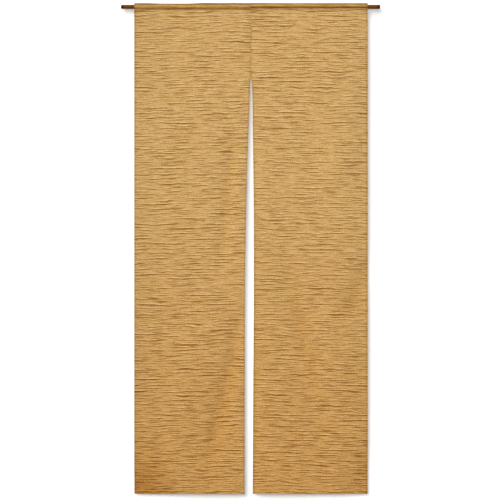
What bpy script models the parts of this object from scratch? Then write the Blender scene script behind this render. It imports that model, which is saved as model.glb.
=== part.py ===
"""A split door curtain (noren) on its rod, hanging as it does in a doorway.

Two cloth panels are sewn side by side down to the head of a slit and hang free below it. The top of
each panel is turned back and sewn close under the rod, so that it makes the tunnel that the rod goes
through, and its pressed edge stands up above the rod. The sides and the foot have turned hems.
X runs along the rod, +Z is up and the front faces -Y. The origin is on the rod's axis, half way along.
All sizes are in metres.
"""

from collections import namedtuple
from math import acos, cos, exp, hypot, pi, radians, sin, tan

import bmesh
import bpy

# Rod
ROD_LENGTH = 0.944
ROD_RADIUS = 0.0075
ROD_STEPS = 32
ROD_ROUND = 0.0052
ROD_CHAMFER = 0.0007
ROUND_STEPS = 5
MERGE_DISTANCE = 0.00001

# Cloth as it hangs
CLOTH_WIDTH = 0.850
CLOTH_FOOT = -1.775
CLOTH_SHIFT = 0.0016
THICKNESS = 0.0012
GAP = 0.0003
PANEL_WIDTH = CLOTH_WIDTH / 2

# Turned hems, each a second layer behind the cloth
SIDE_HEM = 0.022
SLIT_HEM = 0.015
FOOT_HEM = 0.036
TUNNEL_TURN = 0.006
HEM_STEP = 0.0008

# Tunnel around the rod, seen from its end
ARC_STEPS = 6
TUNNEL_LOW = 0.00985
OUTER_RADIUS = ROD_RADIUS + GAP + THICKNESS

# Grid of the solids
COLUMN_PITCH = 0.0145
ROW_PITCH = 0.046
SHARP_ANGLE = radians(50)

# Edges of the slit at heights below the rod, from the line of the seam
SlitEdge = namedtuple("SlitEdge", "z left right")
SLIT = (
    SlitEdge(z=0.000, left=0.0000, right=0.0000),
    SlitEdge(z=-0.250, left=0.0000, right=0.0000),
    SlitEdge(z=-0.260, left=-0.0020, right=0.0022),
    SlitEdge(z=-0.278, left=-0.0033, right=0.0036),
    SlitEdge(z=-0.300, left=-0.0041, right=0.0046),
    SlitEdge(z=-0.340, left=-0.0055, right=0.0060),
    SlitEdge(z=-0.449, left=-0.0098, right=0.0070),
    SlitEdge(z=-0.577, left=-0.0143, right=0.0088),
    SlitEdge(z=-0.704, left=-0.0173, right=0.0102),
    SlitEdge(z=-0.849, left=-0.0203, right=0.0107),
    SlitEdge(z=-1.020, left=-0.0225, right=0.0107),
    SlitEdge(z=-1.395, left=-0.0233, right=0.0087),
    SlitEdge(z=CLOTH_FOOT, left=-0.0239, right=0.0066),
)

# Height of the pressed edge above the rod's axis, flattened over part of the left panel
CreasePoint = namedtuple("CreasePoint", "x rise")
CREASE = (
    CreasePoint(x=-0.425, rise=0.0134),
    CreasePoint(x=-0.385, rise=0.0143),
    CreasePoint(x=-0.330, rise=0.0124),
    CreasePoint(x=-0.230, rise=0.0122),
    CreasePoint(x=-0.180, rise=0.0142),
    CreasePoint(x=0.000, rise=0.0144),
    CreasePoint(x=0.250, rise=0.0143),
    CreasePoint(x=0.425, rise=0.0140),
)

# Soft folds: a line from head to foot and how far it bows, the half width at both ends, how far the
# fold stands forward, and the shares of its length over which it comes up and dies out
Fold = namedtuple("Fold", "x0 z0 x1 z1 bow width0 width1 rise fade_in fade_out")
LEFT_FOLDS = (
    Fold(0.000, 0.000, 0.000, -0.420, 0.000, 0.006, 0.006, -0.0022, 0.05, 0.35),
    Fold(-0.060, -0.390, -0.116, -1.060, 0.000, 0.022, 0.028, -0.0052, 0.27, 0.38),
    Fold(-0.010, -0.980, -0.186, -1.800, -0.006, 0.028, 0.036, -0.0078, 0.50, 0.33),
    Fold(-0.100, -0.950, -0.330, -1.775, 0.010, 0.040, 0.060, 0.0018, 0.35, 0.00),
    Fold(-0.330, -0.300, -0.255, -1.150, 0.000, 0.040, 0.056, 0.0030, 0.30, 0.30),
    Fold(-0.375, -0.560, -0.200, -0.740, 0.000, 0.030, 0.040, -0.0016, 0.40, 0.40),
)
RIGHT_FOLDS = (
    Fold(0.000, 0.000, 0.000, -0.700, 0.000, 0.022, 0.022, -0.0022, 0.05, 0.40),
    Fold(0.000, -0.880, 0.002, -1.775, 0.000, 0.030, 0.034, -0.0050, 0.25, 0.00),
    Fold(0.034, -0.500, 0.080, -0.860, 0.004, 0.014, 0.018, 0.0024, 0.35, 0.35),
    Fold(0.112, -0.840, 0.250, -1.460, 0.000, 0.028, 0.040, -0.0050, 0.25, 0.35),
    Fold(0.480, -0.860, 0.300, -1.210, 0.000, 0.034, 0.040, -0.0050, 0.10, 0.40),
    Fold(0.290, -1.285, 0.060, -1.250, 0.000, 0.028, 0.034, -0.0022, 0.40, 0.30),
    Fold(0.215, -1.250, 0.260, -1.775, 0.000, 0.044, 0.060, -0.0024, 0.30, 0.00),
    Fold(0.405, -0.150, 0.320, -0.700, 0.000, 0.040, 0.050, 0.0034, 0.30, 0.40),
    Fold(0.215, -0.300, 0.235, -0.720, 0.000, 0.030, 0.040, -0.0022, 0.40, 0.40),
)

# Bottom outer corners that turn back towards the wall
Corner = namedtuple("Corner", "across up back")
LEFT_CORNER = Corner(across=0.270, up=0.120, back=0.009)
RIGHT_CORNER = Corner(across=0.150, up=0.260, back=0.009)

# The folds die out over this height below the tunnel's seam
FLAT_HEAD = 0.110


def smooth(low, high, value):
    """0 below low and 1 above high, with an even turn between them."""
    share = min(max((value - low) / (high - low), 0.0), 1.0)
    return share * share * (3 - 2 * share)


def on_curve(places, values, at):
    """The value at a place on a smooth curve through a table, whose places rise; it doesn't overshoot."""
    if at <= places[0]:
        return values[0]
    if at >= places[-1]:
        return values[-1]
    i = max(k for k in range(len(places) - 1) if places[k] <= at)
    slopes = []
    for k in (i, i + 1):
        before, after = max(k - 1, 0), min(k + 1, len(places) - 1)
        turns = 0 < k < len(places) - 1 and (values[k] - values[before]) * (values[after] - values[k]) <= 0
        slopes.append(0.0 if turns else (values[after] - values[before]) / (places[after] - places[before]))
    step = places[i + 1] - places[i]
    t = (at - places[i]) / step
    head = (1 + 2 * t) * (1 - t) ** 2 * values[i] + t * (1 - t) ** 2 * step * slopes[0]
    return head + t * t * (3 - 2 * t) * values[i + 1] + t * t * (t - 1) * step * slopes[1]


def slit_edge(side, z):
    """Where the panel's inner edge lies at height z, measured from the line of the seam."""
    rows = SLIT[::-1]
    edges = [row.left if side < 0 else row.right for row in rows]
    return on_curve([row.z for row in rows], edges, z) + side * GAP / 2


def fold_rise(fold, x, z):
    """How far one fold brings the cloth forward at a point."""
    dx, dz = fold.x1 - fold.x0, fold.z1 - fold.z0
    length = hypot(dx, dz)
    share = ((x - fold.x0) * dx + (z - fold.z0) * dz) / length**2
    inside = min(max(share, 0.0), 1.0)
    across = ((x - fold.x0) * dz - (z - fold.z0) * dx) / length - fold.bow * 4 * inside * (1 - inside)
    width = fold.width0 + (fold.width1 - fold.width0) * inside
    fade = smooth(0.0, fold.fade_in, share)
    if fold.fade_out:
        fade *= smooth(0.0, fold.fade_out, 1 - share)
    return fold.rise * fade * exp(-((across / width) ** 2))


def forward(side, x, z):
    """How far the cloth hangs in front of the plane under the rod."""
    folds = LEFT_FOLDS if side < 0 else RIGHT_FOLDS
    corner = LEFT_CORNER if side < 0 else RIGHT_CORNER
    total = sum(fold_rise(fold, x, z) for fold in folds)
    reach = (PANEL_WIDTH - abs(x)) / corner.across + (z - CLOTH_FOOT) / corner.up
    total -= corner.back * smooth(0.0, 1.0, 1 - reach)
    return total * smooth(0.0, FLAT_HEAD, -TUNNEL_LOW - z)


def steps_between(start, end, pitch):
    """Even places from start to end, about a pitch apart."""
    count = max(1, round(abs(end - start) / pitch))
    return [start + (end - start) * i / count for i in range(count + 1)]


def columns():
    """Places across a panel, from its outer edge to its inner one, with a close pair at each hem."""
    hem, slit_hem = SIDE_HEM, PANEL_WIDTH - SLIT_HEM
    middle = steps_between(hem + HEM_STEP, slit_hem - HEM_STEP, COLUMN_PITCH)
    return [0.0, hem / 2, hem, *middle, slit_hem, PANEL_WIDTH - SLIT_HEM / 2, PANEL_WIDTH]


def rows():
    """Heights down a panel, from the tunnel's seam to the foot, with a close pair at each hem."""
    seam = THICKNESS / tan(pi / 2 - acos(OUTER_RADIUS / TUNNEL_LOW)) - TUNNEL_LOW
    turn, hem = seam - TUNNEL_TURN, CLOTH_FOOT + FOOT_HEM
    middle = steps_between(turn - HEM_STEP, hem + HEM_STEP, ROW_PITCH)
    return [seam, turn, *middle, hem, (hem + CLOTH_FOOT) / 2, CLOTH_FOOT]


def tunnel_ring(radius, crest):
    """One wall of the tunnel seen from its end, as (y, z) up its front, over the crest and down its back."""
    low = acos(OUTER_RADIUS / TUNNEL_LOW)
    high = pi - acos(OUTER_RADIUS / crest)
    turns = [low + (high - low) * i / ARC_STEPS for i in range(ARC_STEPS + 1)]
    front = [(-radius * sin(turn), -radius * cos(turn)) for turn in turns]
    back = [(-y, z) for y, z in reversed(front)]
    return front + [(0.0, crest * radius / OUTER_RADIUS)] + back


def section(side, across, heights):
    """Points of the cloth cut through at one column: front, back, tunnel's outside, inside and tip."""
    share = across / PANEL_WIDTH
    points = []
    for face in (-1, 1):
        for z in heights:
            outer = side * PANEL_WIDTH
            x = outer + (slit_edge(side, z) - outer) * share
            y = -forward(side, x, z)
            hemmed = (
                across <= SIDE_HEM
                or across >= PANEL_WIDTH - SLIT_HEM
                or z >= heights[1]
                or z <= CLOTH_FOOT + FOOT_HEM
            )
            y += THICKNESS * (hemmed if face > 0 else -1)
            points.append((x, y, z))
    x = side * (PANEL_WIDTH + (GAP / 2 - PANEL_WIDTH) * share)
    crest = on_curve([row.x for row in CREASE], [row.rise for row in CREASE], x)
    arc = (pi - acos(OUTER_RADIUS / TUNNEL_LOW) - acos(OUTER_RADIUS / crest)) / ARC_STEPS
    inner_radius = (ROD_RADIUS + GAP) / cos(arc / 2)
    for radius in (OUTER_RADIUS, inner_radius):
        points += [(x, y, z) for y, z in tunnel_ring(radius, crest)]
    points.append((x, 0.0, -TUNNEL_LOW * inner_radius / OUTER_RADIUS))
    return [(x + CLOTH_SHIFT, y, z) for x, y, z in points]


def section_faces(down, around):
    """The faces that fill a section: a strip down the cloth, the join at the seam and the tunnel's wall."""
    outside, inside, tip = 2 * down, 2 * down + around, 2 * (down + around)
    faces = [(i, i + 1, down + i + 1, down + i) for i in range(down - 1)]
    outer = [0, *range(outside, outside + around), down]
    inner = [tip, *range(inside, inside + around), tip]
    faces.append((0, down, tip))
    faces += [
        tuple(dict.fromkeys((outer[i], outer[i + 1], inner[i + 1], inner[i])))
        for i in range(around + 1)
    ]
    return faces


def hung_panel(name, side, material):
    """A panel: its section is filled once, then pulled across the width from column to column."""
    heights = rows()
    sections = [section(side, across, heights) for across in columns()]
    mesh = bmesh.new()
    place = mesh.verts.layers.int.new("place")
    for i, point in enumerate(sections[0]):
        mesh.verts.new(point)[place] = i
    mesh.verts.ensure_lookup_table()
    around = 2 * ARC_STEPS + 3
    cap = [mesh.faces.new([mesh.verts[i] for i in face]) for face in section_faces(len(heights), around)]
    for number, points in enumerate(sections[1:]):
        edges = list(dict.fromkeys(edge for face in cap for edge in face.edges))
        grown = bmesh.ops.extrude_face_region(mesh, geom=cap + edges, use_keep_orig=number == 0)["geom"]
        cap = [piece for piece in grown if isinstance(piece, bmesh.types.BMFace)]
        for piece in grown:
            if isinstance(piece, bmesh.types.BMVert):
                piece.co = points[piece[place]]
    bmesh.ops.recalc_face_normals(mesh, faces=mesh.faces)
    return finished(name, mesh, material)


def finished(name, mesh, material):
    """An object made from a bmesh, smooth but for its sharp edges, in the curtain's collection."""
    data = bpy.data.meshes.new(name)
    mesh.to_mesh(data)
    mesh.free()
    data.materials.append(material)
    data.shade_smooth()
    data.set_sharp_from_angle(angle=SHARP_ANGLE)
    piece = bpy.data.objects.new(name, data)
    bpy.data.collections["noren"].objects.link(piece)
    return piece


def rod(material):
    """The rod, turned about its own length: a square right end and a rounded left one."""
    half = ROD_LENGTH / 2
    profile = [(0.0, half), (ROD_RADIUS - ROD_CHAMFER, half), (ROD_RADIUS, half - ROD_CHAMFER)]
    for i in range(ROUND_STEPS + 1):
        turn = pi / 2 * i / ROUND_STEPS
        out = ROD_RADIUS - ROD_ROUND + ROD_ROUND * cos(turn)
        profile.append((out, -half + ROD_ROUND - ROD_ROUND * sin(turn)))
    profile.append((0.0, -half))
    mesh = bmesh.new()
    points = [mesh.verts.new((out, 0.0, z)) for out, z in profile]
    for first, second in zip(points, points[1:]):
        mesh.edges.new((first, second))
    piece = finished("rod", mesh, material)
    piece.rotation_euler = (0.0, radians(90), 0.0)
    screw = piece.modifiers.new("Turned", "SCREW")
    screw.axis = "Z"
    screw.angle = 2 * pi
    screw.steps = screw.render_steps = ROD_STEPS
    screw.use_merge_vertices = True
    screw.merge_threshold = MERGE_DISTANCE
    screw.use_smooth_shade = True
    return piece


def plain_material(name, colour, roughness):
    """A Principled material of one colour, given in linear values."""
    material = bpy.data.materials.new(name)
    material.use_nodes = True
    shader = material.node_tree.nodes["Principled BSDF"]
    shader.inputs["Base Color"].default_value = (*colour, 1.0)
    shader.inputs["Roughness"].default_value = roughness
    shader.inputs["Metallic"].default_value = 0.0
    return material


def main():
    for old in list(bpy.data.objects):
        bpy.data.objects.remove(old, do_unlink=True)
    group = bpy.data.collections.new("noren")
    bpy.context.scene.collection.children.link(group)
    cloth = plain_material("tan slub cloth", (0.56, 0.33, 0.125), 0.85)
    wood = plain_material("dark stained wood", (0.115, 0.042, 0.009), 0.45)
    rod(wood)
    hung_panel("left_panel", -1, cloth)
    hung_panel("right_panel", 1, cloth)


main()
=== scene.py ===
"""Looks of the split door curtain: slub cloth with turned and sewn hems on a stained wooden rod.

Each panel starts as a flat grid, cut to size, and is then hung: its sides and foot are turned back, its top
goes over the rod and down behind it, and soft folds bring the cloth forward or back. Sizes are in metres, in
the frame of the part: X along the rod, Z up, the front faces -Y, and the origin lies on the rod's axis.
"""

from collections import namedtuple
from math import cos, pi, radians, sin

import bmesh
import bpy
import numpy as np
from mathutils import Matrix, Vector, noise


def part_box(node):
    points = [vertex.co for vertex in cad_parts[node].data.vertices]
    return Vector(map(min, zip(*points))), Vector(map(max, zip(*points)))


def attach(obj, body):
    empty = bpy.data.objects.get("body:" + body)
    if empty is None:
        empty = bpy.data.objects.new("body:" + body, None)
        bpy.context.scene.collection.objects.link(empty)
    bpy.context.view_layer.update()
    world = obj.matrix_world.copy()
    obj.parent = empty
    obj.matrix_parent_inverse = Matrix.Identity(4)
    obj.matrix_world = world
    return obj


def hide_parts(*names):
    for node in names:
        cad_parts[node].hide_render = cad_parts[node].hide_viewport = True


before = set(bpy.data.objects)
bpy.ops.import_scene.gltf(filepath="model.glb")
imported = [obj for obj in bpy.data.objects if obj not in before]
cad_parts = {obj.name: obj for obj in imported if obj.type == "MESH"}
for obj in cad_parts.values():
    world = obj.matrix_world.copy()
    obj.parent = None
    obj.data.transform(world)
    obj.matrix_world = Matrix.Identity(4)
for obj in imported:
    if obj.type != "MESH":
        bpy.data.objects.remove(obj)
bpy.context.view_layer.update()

# Rod
ROD_LOW, ROD_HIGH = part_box("rod")
ROD_RADIUS = (ROD_HIGH.z - ROD_LOW.z) / 2
ROD_ROUND = 0.0052
ROD_CHAMFER = 0.0007
ROD_STEPS = 64
ROUND_STEPS = 8
ROD_PITCH = 0.02
SHARP_ANGLE = 40

# Cloth as it hangs
CLOTH_WIDTH = 0.850
CLOTH_FOOT = -1.775
CLOTH_SHIFT = 0.0016
PANEL_WIDTH = CLOTH_WIDTH / 2
THICKNESS = 0.00045
LAYER = 0.00075
TURN = LAYER / 2
FRONT = -0.00095
SEAM_GAP = 0.0001
HEM_STACK = 3

# Turned hems
SIDE_HEM = 0.0245
SLIT_HEM = 0.016
FOOT_HEM = 0.037
STITCH_INSET = 0.002
GROOVE_DEPTH = 0.00014
GROOVE_WIDTH = 0.0016
STEP_RUN = 0.014

# Tunnel around the rod, with the lengths of cloth in it from the seam at the front to the seam at the back
TUNNEL_RADIUS = 0.0087
TUNNEL_SEAM = -0.0101
TUNNEL_TURN = 0.008
CREASE_RADIUS = 0.0009
TUNNEL_RUNS = (0.005, 0.016, 0.011, 0.0018, 0.011, 0.016, 0.005)
TUNNEL_STEPS = (3, 7, 3, 6, 3, 7, 3)

# Head of the slit, up the flat cloth
SLIT_HEAD = -0.250 - CLOTH_FOOT

# Grid of the cloth
COLUMN_PITCH = 0.0085
SEAM_PITCH = 0.0035
ROW_PITCH = 0.0028
TURN_STEPS = 4

# Edges of the slit at heights below the rod, from the line of the seam
SlitEdge = namedtuple("SlitEdge", "z left right")
SLIT = (
    SlitEdge(z=0.000, left=0.0000, right=0.0000),
    SlitEdge(z=-0.250, left=0.0000, right=0.0000),
    SlitEdge(z=-0.260, left=-0.0020, right=0.0022),
    SlitEdge(z=-0.278, left=-0.0033, right=0.0036),
    SlitEdge(z=-0.300, left=-0.0041, right=0.0046),
    SlitEdge(z=-0.340, left=-0.0055, right=0.0060),
    SlitEdge(z=-0.449, left=-0.0098, right=0.0070),
    SlitEdge(z=-0.577, left=-0.0143, right=0.0088),
    SlitEdge(z=-0.704, left=-0.0173, right=0.0102),
    SlitEdge(z=-0.849, left=-0.0203, right=0.0107),
    SlitEdge(z=-1.020, left=-0.0225, right=0.0107),
    SlitEdge(z=-1.395, left=-0.0233, right=0.0087),
    SlitEdge(z=CLOTH_FOOT, left=-0.0239, right=0.0066),
)

# Height of the pressed edge above the rod's axis, flattened over part of the left panel
CreasePoint = namedtuple("CreasePoint", "x rise")
CREASE = (
    CreasePoint(x=-0.425, rise=0.0134),
    CreasePoint(x=-0.385, rise=0.0143),
    CreasePoint(x=-0.330, rise=0.0124),
    CreasePoint(x=-0.230, rise=0.0122),
    CreasePoint(x=-0.180, rise=0.0142),
    CreasePoint(x=0.000, rise=0.0144),
    CreasePoint(x=0.250, rise=0.0143),
    CreasePoint(x=0.425, rise=0.0140),
)

# Soft folds: a line from head to foot and how far it bows, the half width at both ends, how far the
# fold stands forward, and the shares of its length over which it comes up and dies out
Fold = namedtuple("Fold", "x0 z0 x1 z1 bow width0 width1 rise fade_in fade_out")
LEFT_FOLDS = (
    Fold(0.000, 0.000, 0.000, -0.420, 0.000, 0.006, 0.006, -0.0022, 0.05, 0.35),
    Fold(-0.060, -0.390, -0.116, -1.060, 0.000, 0.022, 0.028, -0.0052, 0.27, 0.38),
    Fold(-0.010, -0.980, -0.186, -1.800, -0.006, 0.028, 0.036, -0.0078, 0.50, 0.33),
    Fold(-0.100, -0.950, -0.330, -1.775, 0.010, 0.040, 0.060, 0.0018, 0.35, 0.00),
    Fold(-0.330, -0.300, -0.255, -1.150, 0.000, 0.040, 0.056, 0.0030, 0.30, 0.30),
    Fold(-0.375, -0.560, -0.200, -0.740, 0.000, 0.030, 0.040, -0.0016, 0.40, 0.40),
)
RIGHT_FOLDS = (
    Fold(0.000, 0.000, 0.000, -0.700, 0.000, 0.022, 0.022, -0.0022, 0.05, 0.40),
    Fold(0.000, -0.880, 0.002, -1.775, 0.000, 0.030, 0.034, -0.0050, 0.25, 0.00),
    Fold(0.034, -0.500, 0.080, -0.860, 0.004, 0.014, 0.018, 0.0024, 0.35, 0.35),
    Fold(0.112, -0.840, 0.250, -1.460, 0.000, 0.028, 0.040, -0.0050, 0.25, 0.35),
    Fold(0.480, -0.860, 0.300, -1.210, 0.000, 0.034, 0.040, -0.0050, 0.10, 0.40),
    Fold(0.290, -1.285, 0.060, -1.250, 0.000, 0.028, 0.034, -0.0022, 0.40, 0.30),
    Fold(0.215, -1.250, 0.260, -1.775, 0.000, 0.044, 0.060, -0.0024, 0.30, 0.00),
    Fold(0.405, -0.150, 0.320, -0.700, 0.000, 0.040, 0.050, 0.0034, 0.30, 0.40),
    Fold(0.215, -0.300, 0.235, -0.720, 0.000, 0.030, 0.040, -0.0022, 0.40, 0.40),
)

# Bottom outer corners that turn back towards the wall
Corner = namedtuple("Corner", "across up back")
LEFT_CORNER = Corner(across=0.270, up=0.120, back=0.009)
RIGHT_CORNER = Corner(across=0.150, up=0.260, back=0.009)

# The folds die out over this height below the tunnel's seam
FLAT_HEAD = 0.110

# Low ripples that the uneven yarn puts in the cloth
RIPPLE_HEIGHT = 0.00011
RIPPLES_ACROSS = 8.0
RIPPLES_UP = 75.0

# Stitches
STITCH_LENGTH = 0.0030
STITCH_PITCH = 0.0037
STITCH_RADIUS = 0.00022
STITCH_LIFT = STITCH_RADIUS * 0.2
STITCH_END = 0.002
LOCK_LENGTH = 0.008
LOCK_PITCH = STITCH_PITCH / 4

# Layers of streaks from thick and thin yarn: the spacing and the run of their places, half the thickness of
# a streak, its rise over its run, how much darker it is than the ground, and how much paler its painted
# highlight is, a pale line painted just above the streak
Streaks = namedtuple("Streaks", "spacing run thick rise depth glint")
STREAKS = (
    Streaks(spacing=0.0184, run=0.240, thick=0.00175, rise=0.0030, depth=0.63, glint=0.15),
    Streaks(spacing=0.0118, run=0.130, thick=0.00155, rise=0.0020, depth=0.56, glint=0.15),
    Streaks(spacing=0.0068, run=0.070, thick=0.00122, rise=0.0008, depth=0.46, glint=0.10),
)
LAYER_SEED = 3.7

# What chance gives each streak: the least and how much may be added. Half its length and its level are
# shares of its place, and its thickness and darkness are shares of those of its layer.
Chance = namedtuple("Chance", "least added")
STREAK_LENGTH = Chance(0.31, 0.20)
STREAK_LEVEL = Chance(0.32, 0.36)
STREAK_THICKNESS = Chance(0.5, 0.6)
STREAK_DARKNESS = Chance(0.40, 0.62)
ROW_SHIFT = 9.0
BARE_THICKNESS = 0.0001

# Where a streak and the painted highlight above it fade, in half thicknesses off their middle, and how their
# ends taper
STREAK_EDGE = (1.10, 0.35)
STREAK_TAPER = (1.0, 0.1)
STREAK_TIP = (0.0, 0.30)
PAINTED_HIGHLIGHT_EDGE = (1.15, 0.1)
PAINTED_HIGHLIGHT_OFF = 2.2
PAINTED_HIGHLIGHT_WIDTH = 1.2

# Noises in the cloth: their spots to a metre across and up, a seed, and how fine and how rough they are
Mottle = namedtuple("Mottle", "across up seed detail roughness", defaults=(2.0, 0.5))
SWAY = Mottle(across=7.0, up=9.0, seed=0.0)
JITTER = Mottle(across=45.0, up=90.0, seed=4.0, detail=3.0)
PATCHES = Mottle(across=6.0, up=16.0, seed=9.0, detail=3.0)
YARN = Mottle(across=55.0, up=310.0, seed=13.0, detail=3.0, roughness=0.6)
BANDS = Mottle(across=9.0, up=120.0, seed=17.0, detail=2.0, roughness=0.6)
GRAIN = Mottle(across=260.0, up=330.0, seed=21.0, detail=1.0)

# How far sway and jitter move the yarn up or down, the shares of the noises in the ground, and the contrast
SWAY_RISE = 0.013
JITTER_RISE = 0.0040
YARN_SHARE = 0.50
BAND_SHARE = 0.26
GRAIN_SHARE = 0.54
CONTRAST = 1.32
MIDDLE_TONE = 0.51

# Strength of the streaks: uneven, and more towards the foot and the outer side. The first two values say
# where it changes, and the others are the strength before and after.
PATCH_STRENGTH = (0.30, 0.70, 0.92, 1.10)
FOOT_STRENGTH = (1.00, 0.05, 1.0, 1.30)
SIDE_STRENGTH = (0.14, 0.03, 1.0, 1.12)

# Cloth tones from the darkest streak to the palest yarn
CLOTH_TONES = (
    (0.00, (0.180, 0.072, 0.008)),
    (0.28, (0.321, 0.163, 0.033)),
    (0.52, (0.457, 0.279, 0.101)),
    (0.72, (0.556, 0.367, 0.163)),
    (1.00, (0.670, 0.506, 0.282)),
)

# Painted shade over the tones, and where each one starts and is full up the flat cloth or in from its outer
# side: darker and warmer towards the foot, where less light falls, and at the outer sides, the bottom outer
# corner and in the hollows of the folds
FOOT_PAINTED_SHADE = (0.90, 0.80, 0.64, 1.0)
FOOT_SHADE_REACH = (1.30, 0.0)
# painted shade, a little darker towards the outer sides
SIDE_PAINTED_SHADE = (0.945, 0.955, 0.95, 1.0)
SIDE_SHADE_REACH = (0.17, 0.01)
# painted shade on the bottom outer corner, where it turns back towards the wall
CORNER_PAINTED_SHADE = (0.85, 0.73, 0.50, 1.0)
CORNER_SHADE_UP = (0.24, 0.02)
CORNER_SHADE_IN = (0.20, 0.02)
# painted shade, deeper and warmer in the hollows of the folds
HOLLOW_PAINTED_SHADE = (0.97, 0.93, 0.84, 1.0)
HOLLOW_DEPTH = (0.0010, 0.0060)

# Painted light and shade in bands, which start, are full, fade and end: the painted shade on the crest and
# the painted light on the paler strip up from the tunnel's seam, the painted shade of the dark line from its
# middle, and the painted shade on the rims from the edge of the cloth. The tunnel gets painted shade from
# the dark line to its back.
TUNNEL_PAINTED_SHADE = (0.80, 0.74, 0.56, 1.0)
TUNNEL_SHADE_START = (-0.002, 0.006)
TUNNEL_SHADE_END = (0.060, 0.050)
# painted shade along the pressed top edge
CREST_PAINTED_SHADE = (0.64, 0.65, 0.68, 1.0)
CREST_SHADE_BAND = (0.020, 0.024, 0.028, 0.033)
# painted light that brightens the strip at the tunnel's seam against its shade
PALE_PAINTED_LIGHT = (1.75, 1.66, 1.66, 1.0)
PALE_LIGHT_BAND = (-0.003, 0.0, 0.006, 0.009)
# painted shade of the dark line on the lower bulge of the tunnel
LINE_SHADE_BAND = (-0.0065, -0.002, 0.001, 0.007)
# painted shade along the rims of the cloth
RIM_PAINTED_SHADE = (0.78, 0.80, 0.70, 1.0)
OUTER_RIM_SHADE_BAND = (-0.010, -0.004, 0.003, 0.011)
INNER_RIM_SHADE_BAND = (-0.009, -0.003, 0.004, 0.010)
HEAD_FADE = 0.02

# What differs in the two panels: the seed of the noises, how far the painted dark line lies from the
# tunnel's seam, its painted shade, and the shares of the other painted light and shade; seam_rim is that of
# the painted shade on the inner rim above the head of the slit
Look = namedtuple("Look", "seed line line_tint crest pale outer_rim inner_rim seam_rim corner")
LEFT_LOOK = Look(
    seed=2.0, line=0.0065, line_tint=(1.00, 0.84, 0.48, 1.0), crest=1.0, pale=0.15,
    outer_rim=1.0, inner_rim=0.4, seam_rim=0.0, corner=1.0,
)
RIGHT_LOOK = Look(
    seed=57.0, line=0.0124, line_tint=(0.50, 0.34, 0.09, 1.0), crest=0.5, pale=0.8,
    outer_rim=0.4, inner_rim=1.0, seam_rim=0.28, corner=0.0,
)

# Weave: the pitches of its yarns, the share of each form in its relief, and how deep and strong that is
WEFT_PITCH = 0.0011
WARP_PITCH = 0.0009
Relief = namedtuple("Relief", "weft warp yarn streak band")
RELIEF = Relief(weft=0.10, warp=0.05, yarn=0.5, streak=0.9, band=0.4)
RELIEF_DEPTH = 0.0006
RELIEF_STRENGTH = 0.45
CLOTH_ROUGHNESS = 0.92
CLOTH_GLOSS = 0.2

# Stained wood: its tones, its grain and pores to a metre along and across, and its dark ends
WOOD_TONES = (
    (0.25, (0.070, 0.018, 0.000)),
    (0.50, (0.125, 0.036, 0.001)),
    (0.75, (0.190, 0.062, 0.004)),
)
Grain = namedtuple("Grain", "along across detail roughness share")
WOOD_GRAIN = Grain(along=9.0, across=420.0, detail=3.0, roughness=0.6, share=0.7)
WOOD_PORES = Grain(along=60.0, across=1500.0, detail=2.0, roughness=0.6, share=0.3)
END_TONE = (0.022, 0.008, 0.002, 1.0)
END_REACH = (0.013, 0.005)
WOOD_ROUGHNESS = 0.55
WOOD_GLOSS = 0.04
WOOD_RELIEF_DEPTH = 0.0002
WOOD_RELIEF_STRENGTH = 0.5

# Sewing thread: its two tones and its twist to a metre
THREAD_TONES = (0.30, 0.165, 0.060, 1.0), (0.46, 0.27, 0.11, 1.0)
THREAD_TWIST = (900.0, 1600.0)
THREAD_ROUGHNESS = 0.8
THREAD_GLOSS = 0.5

# Lights: the way to each one, its strength and its spread in degrees
Sun = namedtuple("Sun", "name to_light strength spread")
SUNS = (
    Sun("key", (-0.73, -1.0, 0.92), 4.06, 56),
    Sun("fill", (0.05, -1.0, 0.05), 1.12, 20),
    Sun("behind", (0.3, 1.0, 0.5), 1.6, 60),
)
SKY_STRENGTH = 0.24
STAGE_TONE = (0.90, 0.90, 0.90, 1.0)

# Picture, and the wall and the floor in it
FRAME_WIDTH = 1.8218
AIM_X = -0.0019
AIM_Z = -0.8859
LENS = 135.0
SENSOR = 36.0
WALL_BEHIND = 0.0185
WALL_HALF = 3.0
WALL_TOP = 1.2
FLOOR_LEVEL = -1.95


def smooth(low, high, value):
    """0 below low and 1 above high, with an even turn between them."""
    share = np.clip((value - low) / (high - low), 0.0, 1.0)
    return share * share * (3 - 2 * share)


def on_curve(places, values, at):
    """Values at places on a smooth curve through a table, whose places rise; it doesn't overshoot."""
    places, values = np.array(places), np.array(values)
    rises = np.diff(values) / np.diff(places)
    wide = (values[2:] - values[:-2]) / (places[2:] - places[:-2])
    slopes = np.concatenate(([rises[0]], np.where(rises[1:] * rises[:-1] > 0, wide, 0.0), [rises[-1]]))
    at = np.clip(at, places[0], places[-1])
    i = np.clip(np.searchsorted(places, at, side="right") - 1, 0, len(places) - 2)
    step = places[i + 1] - places[i]
    t = (at - places[i]) / step
    head = (1 + 2 * t) * (1 - t) ** 2 * values[i] + t * (1 - t) ** 2 * step * slopes[i]
    return head + t * t * (3 - 2 * t) * values[i + 1] + t * t * (t - 1) * step * slopes[i + 1]


def slit_edge(side, z):
    """Where the panel's inner edge lies at height z, measured from the line of the seam."""
    rows = SLIT[::-1]
    edges = [row.left if side < 0 else row.right for row in rows]
    return on_curve([row.z for row in rows], edges, z) + side * SEAM_GAP / 2


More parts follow.
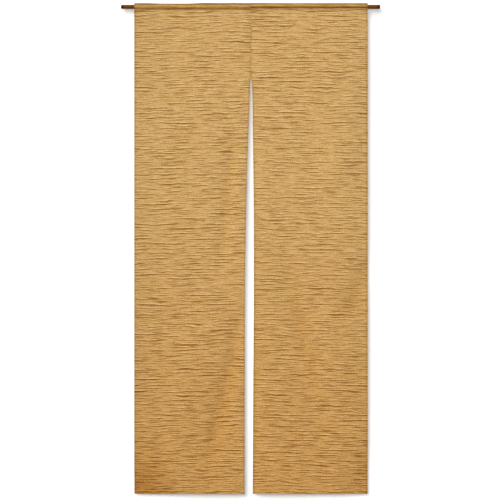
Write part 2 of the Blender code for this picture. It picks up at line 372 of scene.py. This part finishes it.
def fold_rise(fold, x, z):
    """How far one fold brings the cloth forward at a point."""
    dx, dz = fold.x1 - fold.x0, fold.z1 - fold.z0
    length = np.hypot(dx, dz)
    share = ((x - fold.x0) * dx + (z - fold.z0) * dz) / length**2
    inside = np.clip(share, 0.0, 1.0)
    across = ((x - fold.x0) * dz - (z - fold.z0) * dx) / length - fold.bow * 4 * inside * (1 - inside)
    width = fold.width0 + (fold.width1 - fold.width0) * inside
    fade = smooth(0.0, fold.fade_in, share)
    if fold.fade_out:
        fade = fade * smooth(0.0, fold.fade_out, 1 - share)
    return fold.rise * fade * np.exp(-((across / width) ** 2))


def ripple(side, x, z):
    """The low waves of the uneven yarn."""
    x, z = np.broadcast_arrays(x * RIPPLES_ACROSS, z * RIPPLES_UP)
    waves = [noise.noise(Vector((a, b, side))) for a, b in zip(x.ravel(), z.ravel())]
    return RIPPLE_HEIGHT * np.reshape(waves, x.shape)


def forward(side, x, z):
    """How far the cloth hangs in front of the plane under the rod."""
    folds = LEFT_FOLDS if side < 0 else RIGHT_FOLDS
    corner = LEFT_CORNER if side < 0 else RIGHT_CORNER
    total = sum(fold_rise(fold, x, z) for fold in folds)
    reach = (PANEL_WIDTH - abs(x)) / corner.across + (z - CLOTH_FOOT) / corner.up
    total = total - corner.back * smooth(0.0, 1.0, 1 - reach)
    return (total + ripple(side, x, z)) * smooth(0.0, FLAT_HEAD, TUNNEL_SEAM - z)


def turned_edge(reach):
    """Flat places near a side edge that is turned back: how far in from the edge they lie, and how deep."""
    turn = np.clip((TURN - reach) / TURN, 0.0, pi)
    inset = np.where(reach > TURN, reach, TURN - TURN * np.sin(turn))
    inset = np.where(reach < TURN - pi * TURN, 2 * TURN - pi * TURN - reach, inset)
    return inset, TURN - TURN * np.cos(turn)


def across_panel(u):
    """Flat places across the panel: how far they hang from the outer edge, and how deep."""
    outer, outer_depth = turned_edge(u)
    inner, inner_depth = turned_edge(PANEL_WIDTH - u)
    near_outer = u < PANEL_WIDTH / 2
    return np.where(near_outer, outer, PANEL_WIDTH - inner), np.where(near_outer, outer_depth, inner_depth)


def stack_depth(across):
    """How deep the layers of a turned foot or tunnel lie on each other: three steps over a side hem."""
    over_side = 1 - smooth(SIDE_HEM, SIDE_HEM + STEP_RUN, across)
    over_slit = smooth(PANEL_WIDTH - SLIT_HEM - STEP_RUN, PANEL_WIDTH - SLIT_HEM, across)
    return LAYER * (1 + (HEM_STACK - 1) * np.maximum(over_side, over_slit))


def groove(across, z):
    """How far the stitches draw the cloth in."""
    lines = (
        across - SIDE_HEM + STITCH_INSET,
        across - PANEL_WIDTH + SLIT_HEM - STITCH_INSET,
        z - CLOTH_FOOT - FOOT_HEM + STITCH_INSET,
    )
    nearest = np.minimum.reduce([abs(line) for line in np.broadcast_arrays(*lines)])
    return GROOVE_DEPTH * np.exp(-((nearest / GROOVE_WIDTH) ** 2))


def place(x, y, z):
    """Points of the cloth, moved as far along the rod as it hangs off centre."""
    return np.stack(np.broadcast_arrays(x + CLOTH_SHIFT, y, z), axis=-1)


def hanging(side, u, v):
    """Where flat places hang below the tunnel: u runs across from the outer edge, v up from the foot."""
    across, depth = across_panel(u)
    radius = stack_depth(across) / 2
    turn = np.clip((radius - v) / radius, 0.0, pi)
    rise = np.where(v > radius, v, radius - (radius - depth) * np.sin(turn))
    rise = np.where(v < radius - pi * radius, 2 * radius - pi * radius - v, rise)
    depth = radius - (radius - depth) * np.cos(turn)
    return on_panel(side, across, depth, CLOTH_FOOT + rise)


def on_panel(side, across, depth, z):
    """Points of the hanging cloth, at a share of the way from its outer edge to the slit."""
    outer = side * PANEL_WIDTH
    x = outer + (slit_edge(side, z) - outer) * across / PANEL_WIDTH
    drawn = groove(across, z) * np.where(depth < TURN, 1, -1)
    return place(x, FRONT + depth + drawn - forward(side, x, z), z)


def around_rod(part, share, near, far, crest):
    """Places on the tunnel seen from its end, and the way out of it there.

    The cloth runs in seven parts: up to the rod, round it, up to the crease, over the crease, and the same
    down the back. It starts at the depth near and ends at the depth far, both at the height of the seam.
    """
    if part > 3:
        y, z, out_y, out_z = around_rod(6 - part, 1 - share, -far, -near, crest)
        return -y, z, -out_y, out_z
    low = np.arctan2(-near, -TUNNEL_SEAM) + np.arccos(TUNNEL_RADIUS / np.hypot(near, TUNNEL_SEAM))
    top = crest - THICKNESS / 2 - CREASE_RADIUS
    tilt = np.arccos((TUNNEL_RADIUS - CREASE_RADIUS) / top)
    if part == 0:
        y = near + (-TUNNEL_RADIUS * np.sin(low) - near) * share
        z = TUNNEL_SEAM + (-TUNNEL_RADIUS * np.cos(low) - TUNNEL_SEAM) * share
        return y, z, -np.sin(low), -np.cos(low)
    if part == 1:
        turn = low + (pi - tilt - low) * share
        return -TUNNEL_RADIUS * np.sin(turn), -TUNNEL_RADIUS * np.cos(turn), -np.sin(turn), -np.cos(turn)
    if part == 2:
        radius = TUNNEL_RADIUS + (CREASE_RADIUS - TUNNEL_RADIUS) * share
        return -radius * np.sin(tilt), top * share + radius * np.cos(tilt), -np.sin(tilt), np.cos(tilt)
    turn = tilt * (1 - 2 * share)
    return -CREASE_RADIUS * np.sin(turn), top + CREASE_RADIUS * np.cos(turn), -np.sin(turn), np.cos(turn)


def over_rod(side, u, part, share):
    """Where flat places lie in the tunnel."""
    across, depth = across_panel(u)
    outer = side * PANEL_WIDTH
    x = outer + (side * SEAM_GAP / 2 - outer) * across / PANEL_WIDTH
    crest = on_curve([point.x for point in CREASE], [point.rise for point in CREASE], x)
    y, z, out_y, out_z = around_rod(part, share, FRONT, FRONT + stack_depth(across), crest)
    return place(x, y - out_y * depth, z - out_z * depth)


def behind_seam(side, u, drop):
    """Where flat places lie on the turned end that hangs behind the tunnel's seam."""
    across, depth = across_panel(u)
    return on_panel(side, across, stack_depth(across) - depth, TUNNEL_SEAM - drop)


def steps_between(start, end, pitch):
    """Even places from start to end, about a pitch apart."""
    return list(np.linspace(start, end, max(1, round(abs(end - start) / pitch)) + 1))


def turned_places(width):
    """Flat places over a turned edge, from the raw edge of the hem to the start of the front."""
    back = TURN - pi * TURN
    hem = steps_between(back - (width - TURN), back, COLUMN_PITCH)[:-1]
    return hem + steps_between(back, TURN, pi * TURN / TURN_STEPS)


def flat_columns():
    """Flat places across the panel, from the raw edge of the side hem to that of the slit's hem."""
    outer = turned_places(SIDE_HEM)
    inner = [PANEL_WIDTH - u for u in reversed(turned_places(SLIT_HEM))]
    side_line, slit_line = SIDE_HEM - STITCH_INSET, PANEL_WIDTH - SLIT_HEM + STITCH_INSET
    stops = [outer[-1], side_line - GROOVE_WIDTH, side_line, side_line + GROOVE_WIDTH]
    stops += [slit_line - GROOVE_WIDTH, slit_line, slit_line + GROOVE_WIDTH, inner[0]]
    pitches = [COLUMN_PITCH] * (len(stops) - 2) + [SEAM_PITCH]
    between = [steps_between(a, b, pitch)[1:] for a, b, pitch in zip(stops, stops[1:], pitches)]
    return np.array(outer + sum(between, []) + inner[1:])


def flat_rows():
    """Flat places up the panel to the tunnel's seam, from the raw edge of the foot's hem."""
    back = TURN - pi * TURN
    line, seam = FOOT_HEM - STITCH_INSET, TUNNEL_SEAM - CLOTH_FOOT
    rows = steps_between(back - (FOOT_HEM - TURN), back * HEM_STACK, ROW_PITCH)[:-1]
    rows += steps_between(back * HEM_STACK, HEM_STACK * TURN, pi * TURN / 2)
    stops = [rows[-1], line - GROOVE_WIDTH, line, line + GROOVE_WIDTH, seam]
    return np.array(rows + sum([steps_between(a, b, ROW_PITCH)[1:] for a, b in zip(stops, stops[1:])], []))


def add_piece(name, data, material):
    """An object from a finished mesh that rides on the part's one body."""
    data.name = name
    data.materials.append(material)
    piece = bpy.data.objects.new(name, data)
    bpy.context.scene.collection.objects.link(piece)
    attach(piece, "root")
    return piece


def hung_rows(side, u):
    """All the rows of a panel, hung, and their flat places up the cloth."""
    v = flat_rows()
    hung, flat = [hanging(side, u, v[:, None])], [v]
    for part, (run, steps) in enumerate(zip(TUNNEL_RUNS, TUNNEL_STEPS)):
        shares = np.arange(1, steps + 1) / steps
        hung.append(np.stack([over_rod(side, u, part, share) for share in shares]))
        flat.append(flat[-1][-1] + run * shares)
    drops = np.array(steps_between(0.0, TUNNEL_TURN, ROW_PITCH)[1:])
    hung.append(behind_seam(side, u, drops[:, None]))
    flat.append(flat[-1][-1] + drops)
    return np.concatenate(hung), np.concatenate(flat)


def hung_panel(name, side, material):
    """One panel: a flat grid of the cut cloth, hung place by place and then given its thickness."""
    u = flat_columns()
    hung, v = hung_rows(side, u)
    mesh = bmesh.new()
    bmesh.ops.create_grid(mesh, x_segments=len(u) - 1, y_segments=len(v) - 1, size=0.5)
    data = bpy.data.meshes.new(name)
    mesh.to_mesh(data)
    mesh.free()
    flat = np.zeros(len(data.vertices) * 3)
    data.vertices.foreach_get("co", flat)
    column = np.rint((flat[0::3] + 0.5) * (len(u) - 1)).astype(int)
    row = np.rint((flat[1::3] + 0.5) * (len(v) - 1)).astype(int)
    data.vertices.foreach_set("co", hung[row, column].ravel())
    corner = np.zeros(len(data.loops), dtype=int)
    data.loops.foreach_get("vertex_index", corner)
    flat_map = data.uv_layers.new(name="Cloth")
    flat_map.uv.foreach_set("vector", np.stack((u[column[corner]], v[row[corner]]), axis=-1).ravel())
    # how far back the cloth lies in the hollows of its folds, which the material darkens with painted shade
    hollow = data.attributes.new("Hollow", "FLOAT", "POINT")
    spots = hung[row, column]
    hollow.data.foreach_set("value", -forward(side, spots[:, 0] - CLOTH_SHIFT, spots[:, 2]))
    if side > 0:
        data.flip_normals()
    data.shade_smooth()
    panel = add_piece(name, data, material)
    wall = panel.modifiers.new("Thickness", "SOLIDIFY")
    wall.thickness = THICKNESS
    wall.offset = 0.0
    return panel


def stitch_line(side, u, v, along, layers):
    """Stitches along one line, on the front and the back: u and v are their flat starts, along their run."""
    starts, ends = hanging(side, u, v), hanging(side, u + along[0], v + along[1])
    across = np.broadcast_arrays(u, v)[0]
    depth = (stack_depth(across) if layers else LAYER) - 2 * GROOVE_DEPTH
    lift = THICKNESS / 2 + STITCH_LIFT
    for face, shift in ((-1, -lift), (1, depth + lift)):
        out = np.array((0.0, face * STITCH_RADIUS, 0.0))
        for start, end, shift_here in zip(starts, ends, np.broadcast_to(shift, len(starts))):
            push = (0, shift_here, 0)
            yield [start + push - out, (start + end) / 2 + push + out, end + push - out]


def seam_stitches():
    """Short stitches that join the panels over the slit, a little closer at its head."""
    head = SLIT[1].z
    y = FRONT - THICKNESS / 2
    heights = steps_between(TUNNEL_SEAM - STITCH_END, head, STITCH_PITCH)
    for z in heights + steps_between(head, head + LOCK_LENGTH, LOCK_PITCH):
        ends = [np.array((CLOTH_SHIFT + side * STITCH_LENGTH / 2, y + STITCH_RADIUS, z)) for side in (-1, 1)]
        middle = (ends[0] + ends[1]) / 2 - (0, STITCH_RADIUS * 2, 0)
        yield [ends[0], middle, ends[1]]


def sewing(name, stitches, material):
    """Many short stitches as one mesh."""
    thread = bpy.data.curves.new(name, "CURVE")
    thread.dimensions = "3D"
    thread.bevel_depth = STITCH_RADIUS
    thread.bevel_resolution = 0
    thread.use_fill_caps = True
    for points in stitches:
        stitch = thread.splines.new("POLY")
        stitch.points.add(len(points) - 1)
        stitch.points.foreach_set("co", [value for point in points for value in (*point, 1.0)])
    laid = bpy.data.objects.new(name, thread)
    data = bpy.data.meshes.new_from_object(laid)
    bpy.data.objects.remove(laid)
    bpy.data.curves.remove(thread)
    data.shade_smooth()
    return add_piece(name, data, material)


def panel_stitches(side):
    """The stitches of one panel: down both hems, along the foot and along the tunnel's seam."""
    seam = TUNNEL_SEAM - CLOTH_FOOT
    down = np.array(steps_between(STITCH_END, seam - STITCH_END, STITCH_PITCH))[:-1]
    for u in (SIDE_HEM - STITCH_INSET, PANEL_WIDTH - SLIT_HEM + STITCH_INSET):
        in_foot = down < FOOT_HEM - STITCH_LENGTH
        yield from stitch_line(side, u, down[in_foot], (0.0, STITCH_LENGTH), True)
        yield from stitch_line(side, u, down[~in_foot], (0.0, STITCH_LENGTH), False)
    across = np.array(steps_between(STITCH_END, PANEL_WIDTH - STITCH_END, STITCH_PITCH))[:-1]
    for v in (FOOT_HEM - STITCH_INSET, seam - STITCH_INSET / 2):
        yield from stitch_line(side, across, v, (STITCH_LENGTH, 0.0), True)


def turned_rod(material):
    """The rod, spun about its own length: a rounded left end and a square right one."""
    left, right = ROD_LOW.x, ROD_HIGH.x
    profile = [(left, 0.0)]
    for turn in np.linspace(0.0, pi / 2, ROUND_STEPS + 1):
        profile.append((left + ROD_ROUND * (1 - sin(turn)), ROD_RADIUS - ROD_ROUND * (1 - cos(turn))))
    profile[1:] = sorted(profile[1:])
    profile += [(x, ROD_RADIUS) for x in steps_between(left + ROD_ROUND, right - ROD_CHAMFER, ROD_PITCH)[1:]]
    profile += [(right, ROD_RADIUS - ROD_CHAMFER), (right, 0.0)]
    mesh = bmesh.new()
    points = [mesh.verts.new((x, 0.0, out)) for x, out in profile]
    edges = [mesh.edges.new(pair) for pair in zip(points, points[1:])]
    whole_turn = {"cent": (0, 0, 0), "axis": (1, 0, 0), "angle": 2 * pi, "steps": ROD_STEPS}
    bmesh.ops.spin(mesh, geom=points + edges, use_merge=True, **whole_turn)
    bmesh.ops.remove_doubles(mesh, verts=mesh.verts, dist=0.00001)
    bmesh.ops.recalc_face_normals(mesh, faces=mesh.faces)
    data = bpy.data.meshes.new("turned_rod")
    mesh.to_mesh(data)
    mesh.free()
    data.shade_smooth()
    data.set_sharp_from_angle(angle=radians(SHARP_ANGLE))
    rod = add_piece("turned_rod", data, material)
    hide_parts("rod")


class Amount:
    """A number that a material's nodes work out; sums and products of amounts add nodes."""

    def __init__(self, socket):
        self.socket = socket

    def work_out(self, operation, *others):
        """This amount put through a step of arithmetic with others."""
        node = self.socket.node.id_data.nodes.new("ShaderNodeMath")
        node.operation = operation
        for slot, value in zip(node.inputs, (self, *others)):
            feed(slot, value)
        return Amount(node.outputs[0])

    def __add__(self, other):
        return self.work_out("ADD", other)

    def __sub__(self, other):
        return self.work_out("SUBTRACT", other)

    def __mul__(self, other):
        return self.work_out("MULTIPLY", other)

    def __truediv__(self, other):
        return self.work_out("DIVIDE", other)

    def size(self):
        """The amount without its sign."""
        return self.work_out("ABSOLUTE")

    def whole(self):
        """The whole number below the amount."""
        return self.work_out("FLOOR")

    def ease(self, start, end, low=0.0, high=1.0):
        """A soft change from low, where the amount is at start, to high, where it is at end."""
        node = self.socket.node.id_data.nodes.new("ShaderNodeMapRange")
        node.interpolation_type = "SMOOTHSTEP"
        for slot, value in zip(node.inputs, (self, start, end, low, high)):
            feed(slot, value)
        return Amount(node.outputs[0])

    def in_band(self, band, origin=0.0):
        """1 within a band measured from its origin, with soft edges, and 0 outside it."""
        start, full, fade, end = (origin + place for place in band)
        return self.ease(start, full) * self.ease(end, fade)


def feed(slot, value):
    """Links an amount or a socket to a node's input, or writes a plain value there."""
    if isinstance(value, Amount):
        value = value.socket
    if isinstance(value, bpy.types.NodeSocket):
        slot.node.id_data.links.new(value, slot)
    else:
        slot.default_value = value


class Finish:
    """A material with its nodes."""

    def __init__(self, name, roughness, gloss):
        self.material = bpy.data.materials.new(name)
        self.material.use_nodes = True
        self.tree = self.material.node_tree
        self.surface = self.tree.nodes["Principled BSDF"]
        self.surface.inputs["Roughness"].default_value = roughness
        self.surface.inputs["Specular IOR Level"].default_value = gloss

    def add(self, kind, inputs=(), **settings):
        """A node, with its settings and what goes in its inputs."""
        node = self.tree.nodes.new(kind)
        for key, value in settings.items():
            setattr(node, key, value)
        for slot, value in dict(inputs).items():
            feed(node.inputs[slot], value)
        return node

    def point(self, x, y, z=0.0):
        """A point put together from three amounts."""
        return self.add("ShaderNodeCombineXYZ", {0: x, 1: y, 2: z}).outputs[0]

    def apart(self, point):
        """The three amounts of a point."""
        return [Amount(socket) for socket in self.add("ShaderNodeSeparateXYZ", {0: point}).outputs]

    def noise(self, x, y, z, detail=2.0, roughness=0.5):
        """Smooth noise at a place; the places are stretched before they get here."""
        inputs = {"Vector": self.point(x, y, z), "Scale": 1.0, "Detail": detail, "Roughness": roughness}
        return Amount(self.add("ShaderNodeTexNoise", inputs, noise_dimensions="3D").outputs[0])

    def mottle(self, u, v, kind, seed):
        """One of the noises in the cloth, at a flat place."""
        return self.noise(u * kind.across, v * kind.up, seed + kind.seed, kind.detail, kind.roughness)

    def chances(self, a, b, c):
        """Three random amounts from 0 to 1 for each whole place."""
        node = self.add("ShaderNodeTexWhiteNoise", {"Vector": self.point(a, b, c)}, noise_dimensions="3D")
        return self.apart(node.outputs["Color"])

    def painted_by(self, name):
        """An amount kept on the mesh, point by point."""
        return Amount(self.add("ShaderNodeAttribute", attribute_name=name).outputs["Fac"])

    def blend(self, share, first, second, kind="MIX"):
        """Two colours mixed by a share."""
        node = self.tree.nodes.new("ShaderNodeMix")
        node.data_type, node.blend_type = "RGBA", kind
        slots = {socket.identifier: socket for socket in node.inputs}
        feed(slots["Factor_Float"], share)
        feed(slots["A_Color"], first)
        feed(slots["B_Color"], second)
        return next(socket for socket in node.outputs if socket.identifier == "Result_Color")

    def tones(self, amount, stops):
        """A colour looked up on a row of colours."""
        node = self.add("ShaderNodeValToRGB", {0: amount})
        ramp = node.color_ramp
        while len(ramp.elements) < len(stops):
            ramp.elements.new(0.5)
        for element, (place_on_row, colour) in zip(ramp.elements, stops):
            element.position = place_on_row
            element.color = (*colour, 1.0)
        return node.outputs[0]

    def paint(self, colour):
        """The colour of the surface."""
        feed(self.surface.inputs["Base Color"], colour)

    def relief(self, height, distance, strength):
        """Low relief on the surface."""
        node = self.add("ShaderNodeBump", {"Height": height, "Distance": distance, "Strength": strength})
        feed(self.surface.inputs["Normal"], node.outputs[0])


def by_chance(share, chance):
    """An amount picked by chance from the least it may be."""
    return share * chance.added + chance.least


def streak_layer(cloth, u, v, kind, seed):
    """One layer of tapering streaks laid like bricks, one in each place: its shade and its painted
    highlight.
    """
    line = v / kind.spacing
    row = line.whole()
    run = u / kind.run + cloth.chances(row, seed, 0.5)[0] * ROW_SHIFT
    cell = run.whole()
    level, length, weight = cloth.chances(cell, row, seed)
    along = (run - cell - 0.5) / by_chance(length, STREAK_LENGTH)
    off = (line - row - STREAK_LEVEL.least - level * STREAK_LEVEL.added) * kind.spacing
    off = off - along * kind.rise * 0.5
    taper = along.size().ease(*STREAK_TAPER)
    width = taper * by_chance(weight, STREAK_THICKNESS) * kind.thick
    shade = (off.size() / (width + BARE_THICKNESS)).ease(*STREAK_EDGE) * taper.ease(*STREAK_TIP)
    # the painted highlight: a pale line just above the streak, as light from above would give on a raised
    # yarn
    beside = (off - kind.thick * PAINTED_HIGHLIGHT_OFF).size() / (width * PAINTED_HIGHLIGHT_WIDTH + BARE_THICKNESS)
    return shade * by_chance(weight, STREAK_DARKNESS), beside.ease(*PAINTED_HIGHLIGHT_EDGE) * taper


def streaks(cloth, u, v, seed):
    """All the layers of streaks, the strongest on top: their shade and their painted highlight."""
    shade, glint = None, None
    for number, kind in enumerate(STREAKS):
        dark, light = streak_layer(cloth, u, v, kind, seed + LAYER_SEED * number)
        dark, light = dark * kind.depth, light * kind.glint
        shade = dark if shade is None else shade.work_out("MAXIMUM", dark)
        glint = light if glint is None else glint.work_out("MAXIMUM", light)
    return shade, glint


def paint_light_and_shade(cloth, u, v, look, colour):
    """The cloth's colour, with painted shade at foot, sides, corner, hollows, rims, crest and tunnel, and
    painted light.
    """
    seam = TUNNEL_SEAM - CLOTH_FOOT
    line = seam + look.line
    from_line = v.ease(*(line + place for place in TUNNEL_SHADE_START))
    tunnel = from_line * v.ease(*(seam + place for place in TUNNEL_SHADE_END))
    inner_share = v.ease(SLIT_HEAD, SLIT_HEAD - HEAD_FADE, look.seam_rim, look.inner_rim)
    rims = u.in_band(OUTER_RIM_SHADE_BAND) * look.outer_rim + u.in_band(INNER_RIM_SHADE_BAND, PANEL_WIDTH) * inner_share
    # painted shade, and painted light on the strip at the tunnel's seam, multiplied over the cloth's tones
    painted_light_and_shade = (
        (v.ease(*FOOT_SHADE_REACH), FOOT_PAINTED_SHADE),
        (tunnel, TUNNEL_PAINTED_SHADE),
        (v.in_band(CREST_SHADE_BAND, seam) * look.crest, CREST_PAINTED_SHADE),
        (v.in_band(LINE_SHADE_BAND, line), look.line_tint),
        (v.in_band(PALE_LIGHT_BAND, seam) * look.pale, PALE_PAINTED_LIGHT),
        (rims, RIM_PAINTED_SHADE),
        (cloth.painted_by("Hollow").ease(*HOLLOW_DEPTH), HOLLOW_PAINTED_SHADE),
        (v.ease(*CORNER_SHADE_UP) * u.ease(*CORNER_SHADE_IN) * look.corner, CORNER_PAINTED_SHADE),
        (u.ease(*SIDE_SHADE_REACH), SIDE_PAINTED_SHADE),
    )
    for share, shade in painted_light_and_shade:
        colour = cloth.blend(share, colour, cloth.blend(1.0, colour, shade, "MULTIPLY"))
    return colour


def slub_cloth(name, look):
    """Tan cloth with thin tapering streaks across it, from the thick and thin places of its yarn."""
    cloth = Finish(name, CLOTH_ROUGHNESS, CLOTH_GLOSS)
    u, v, _ = cloth.apart(cloth.add("ShaderNodeUVMap", uv_map="Cloth").outputs[0])

    sway = cloth.mottle(u, v, SWAY, look.seed) - 0.5
    jitter = cloth.mottle(u, v, JITTER, look.seed) - 0.5
    level = v + sway * SWAY_RISE + jitter * JITTER_RISE
    yarn = cloth.mottle(u, level, YARN, look.seed)
    band = cloth.mottle(u, level, BANDS, look.seed)
    grain = cloth.mottle(u, v, GRAIN, look.seed)
    ground = (yarn - 0.5) * YARN_SHARE + (band - 0.5) * BAND_SHARE + (grain - 0.5) * GRAIN_SHARE

    shade, glint = streaks(cloth, u, level, look.seed)
    patches = cloth.mottle(u, v, PATCHES, look.seed)
    strength = patches.ease(*PATCH_STRENGTH) * v.ease(*FOOT_STRENGTH) * u.ease(*SIDE_STRENGTH)
    # the painted highlight lightens the tone just above each streak
    tone = (ground + (glint - shade) * strength) * CONTRAST + MIDDLE_TONE
    cloth.paint(paint_light_and_shade(cloth, u, v, look, cloth.tones(tone, CLOTH_TONES)))

    weft = (v * (pi / WEFT_PITCH)).work_out("SINE").size()
    warp = (u * (pi / WARP_PITCH)).work_out("SINE").size()
    height = weft * RELIEF.weft + warp * RELIEF.warp + yarn * RELIEF.yarn
    height = height + shade * RELIEF.streak + band * RELIEF.band
    cloth.relief(height, RELIEF_DEPTH, RELIEF_STRENGTH)
    return cloth.material


def stained_wood():
    """Dark stained wood with its grain along the rod, darker at the cut ends."""
    wood = Finish("stained_wood", WOOD_ROUGHNESS, WOOD_GLOSS)
    x, y, z = wood.apart(wood.add("ShaderNodeTexCoord").outputs["Object"])
    grain, pores = [
        wood.noise(x * kind.along, y * kind.across, z * kind.across, kind.detail, kind.roughness)
        for kind in (WOOD_GRAIN, WOOD_PORES)
    ]
    colour = wood.tones(grain * WOOD_GRAIN.share + pores * WOOD_PORES.share, WOOD_TONES)
    middle, half = (ROD_LOW.x + ROD_HIGH.x) / 2, (ROD_HIGH.x - ROD_LOW.x) / 2
    near_end = (x - middle).size().ease(*(half - reach for reach in END_REACH))
    wood.paint(wood.blend(near_end, colour, END_TONE))
    wood.relief(grain + pores * 0.5, WOOD_RELIEF_DEPTH, WOOD_RELIEF_STRENGTH)
    return wood.material


def sewing_thread():
    """Matt sewing thread, a little darker than the cloth."""
    thread = Finish("sewing_thread", THREAD_ROUGHNESS, THREAD_GLOSS)
    x, y, z = thread.apart(thread.add("ShaderNodeTexCoord").outputs["Object"])
    across, up = THREAD_TWIST
    twist = thread.noise(x * across, y * across, z * up)
    thread.paint(thread.blend(twist, *THREAD_TONES))
    return thread.material


def stage_plane(name, corners, clear_from_behind):
    """A plain pale floor or wall, which isn't part of the object."""
    pale = Finish(name, roughness=1.0, gloss=0.0)
    pale.paint(STAGE_TONE)
    if clear_from_behind:
        clear = pale.add("ShaderNodeBsdfTransparent").outputs[0]
        behind = pale.add("ShaderNodeNewGeometry").outputs["Backfacing"]
        seen = pale.add("ShaderNodeMixShader", {0: behind, 1: pale.surface.outputs[0], 2: clear})
        feed(pale.tree.nodes["Material Output"].inputs["Surface"], seen.outputs[0])
    mesh = bmesh.new()
    mesh.faces.new([mesh.verts.new(corner) for corner in corners])
    data = bpy.data.meshes.new(name)
    mesh.to_mesh(data)
    mesh.free()
    data.materials.append(pale.material)
    plane = bpy.data.objects.new(name, data)
    bpy.context.scene.collection.objects.link(plane)
    return plane


def room():
    """A white wall close behind the curtain, which can't be seen from behind, and a pale floor under it."""
    half, low, top, y = WALL_HALF, FLOOR_LEVEL, WALL_TOP, WALL_BEHIND
    upright = [(-half, y, low), (half, y, low), (half, y, top), (-half, y, top)]
    wall = stage_plane("wall", upright, clear_from_behind=True)
    wall.visible_diffuse = wall.visible_glossy = wall.visible_transmission = wall.visible_shadow = False
    level = [(-half, -half, low), (half, -half, low), (half, half, low), (-half, half, low)]
    floor = stage_plane("floor", level, clear_from_behind=False)
    floor.visible_diffuse = False


def soft_sun(sun):
    """Light from one way, as soft as its spread."""
    light = bpy.data.lights.new(sun.name, "SUN")
    light.energy = sun.strength
    light.angle = radians(sun.spread)
    lamp = bpy.data.objects.new(sun.name, light)
    lamp.rotation_euler = Vector(sun.to_light).to_track_quat("Z", "Y").to_euler()
    bpy.context.scene.collection.objects.link(lamp)


def lighting():
    """Soft light from the upper left, a weaker one from the front, one for the back, and an even sky."""
    for sun in SUNS:
        soft_sun(sun)
    world = bpy.data.worlds.new("studio")
    world.use_nodes = True
    sky = world.node_tree.nodes["Background"]
    sky.inputs["Color"].default_value = (1.0, 1.0, 1.0, 1.0)
    sky.inputs["Strength"].default_value = SKY_STRENGTH
    bpy.context.scene.world = world
    bpy.context.scene.view_settings.view_transform = "Standard"


def camera():
    """A long lens square to the wall, framed as in the photograph."""
    lens = bpy.data.cameras.new("camera")
    lens.lens = LENS
    lens.sensor_width = SENSOR
    lens.clip_end = 50.0
    view = bpy.data.objects.new("camera", lens)
    view.location = (AIM_X, -FRAME_WIDTH * LENS / SENSOR, AIM_Z)
    view.rotation_euler = (radians(90), 0.0, 0.0)
    bpy.context.scene.collection.objects.link(view)
    bpy.context.scene.camera = view


def main():
    """The picture and its light first, and then the rod, the two panels and their stitches."""
    camera()
    lighting()
    room()
    turned_rod(stained_wood())
    thread = sewing_thread()
    u = flat_columns()
    for name, side, look in (("left", -1, LEFT_LOOK), ("right", 1, RIGHT_LOOK)):
        cloth = slub_cloth(name + "_slub_cloth", look)
        panel = hung_panel(name + "_cloth", side, cloth)
        stitches = [sewing(name + "_stitches", panel_stitches(side), thread)]
        if side < 0:
            stitches.append(sewing("seam_stitches", seam_stitches(), thread))
        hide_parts(name + "_panel")
        flat = hung_rows(side, u)[1]


main()
